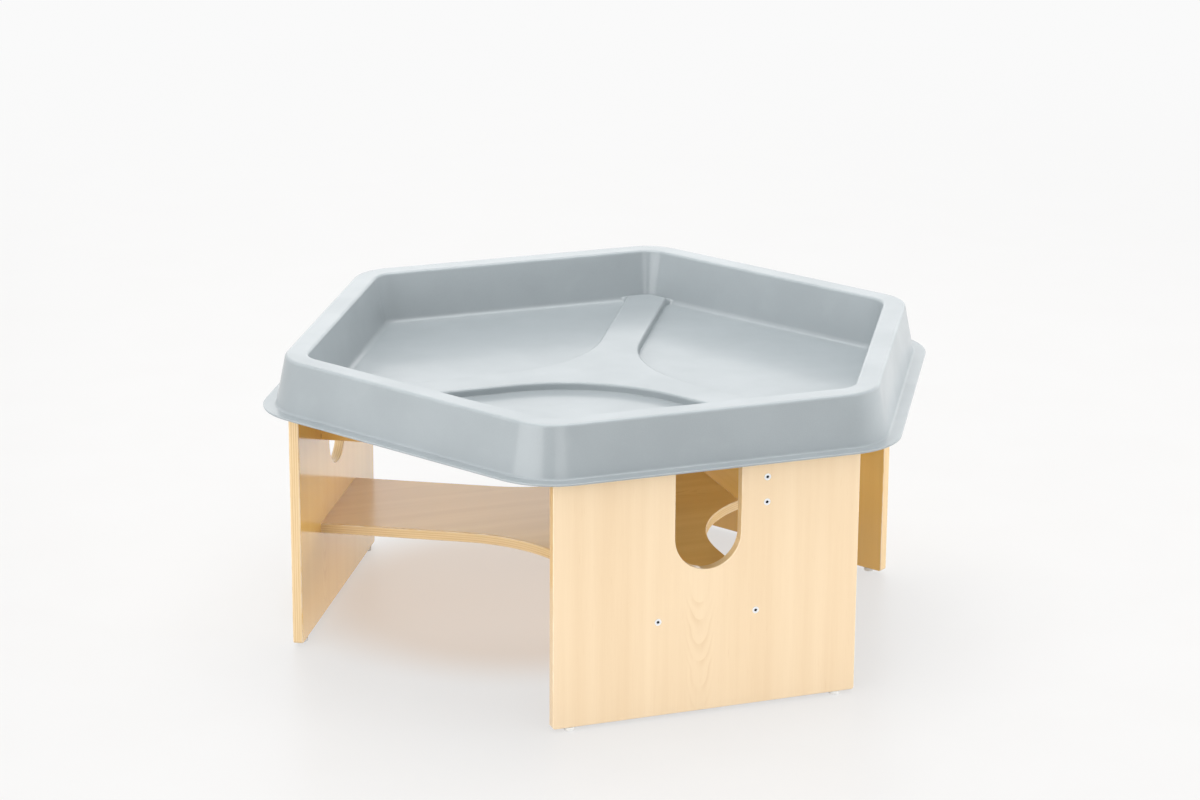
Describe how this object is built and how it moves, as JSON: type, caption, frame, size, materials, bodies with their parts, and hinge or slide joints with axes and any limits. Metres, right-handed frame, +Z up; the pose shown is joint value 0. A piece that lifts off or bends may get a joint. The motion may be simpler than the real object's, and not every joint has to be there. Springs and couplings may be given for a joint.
{
  "type": "play table",
  "caption": "Low six-sided play table: a hollow-rimmed plastic tray with a raised star floor lifts off a plywood stand of notched leg panels, crossed rails and a lobed shelf.",
  "frame": {"origin": "on the floor, under the middle of the table", "axes": "+Z up, -Y out of the front leg panel, +X to the right as the front panel is faced"},
  "size_m": [1.0292, 0.9198, 0.4474],
  "materials": {
    "tray_plastic": "satin moulded",
    "plywood": "clear lacquered birch",
    "zinc_steel": "bright zinc",
    "white_plastic": "matte"
  },
  "bodies": {
    "stand": {"shelf": "plywood", "leg_panel_front": "plywood", "top_rail_front": "plywood", "rail_screws_front": "zinc_steel", "shelf_screws_front": "zinc_steel", "glide_front_left": "white_plastic", "glide_front_right": "white_plastic", "glide_nails_front": "zinc_steel", "leg_panel_right": "plywood", "top_rail_right": "plywood", "rail_screws_right": "zinc_steel", "shelf_screws_right": "zinc_steel", "glide_right_left": "white_plastic", "glide_right_right": "white_plastic", "glide_nails_right": "zinc_steel", "leg_panel_left": "plywood", "top_rail_left": "plywood", "rail_screws_left": "zinc_steel", "shelf_screws_left": "zinc_steel", "glide_left_left": "white_plastic", "glide_left_right": "white_plastic", "glide_nails_left": "zinc_steel"},
    "tray": {"tray": "tray_plastic"}
  },
  "joints": [
    {"name": "tray_lift", "type": "slide", "parent": "stand", "child": "tray", "axis": [0, 0, 1], "range_m": [0, 0.15]}
  ]
}
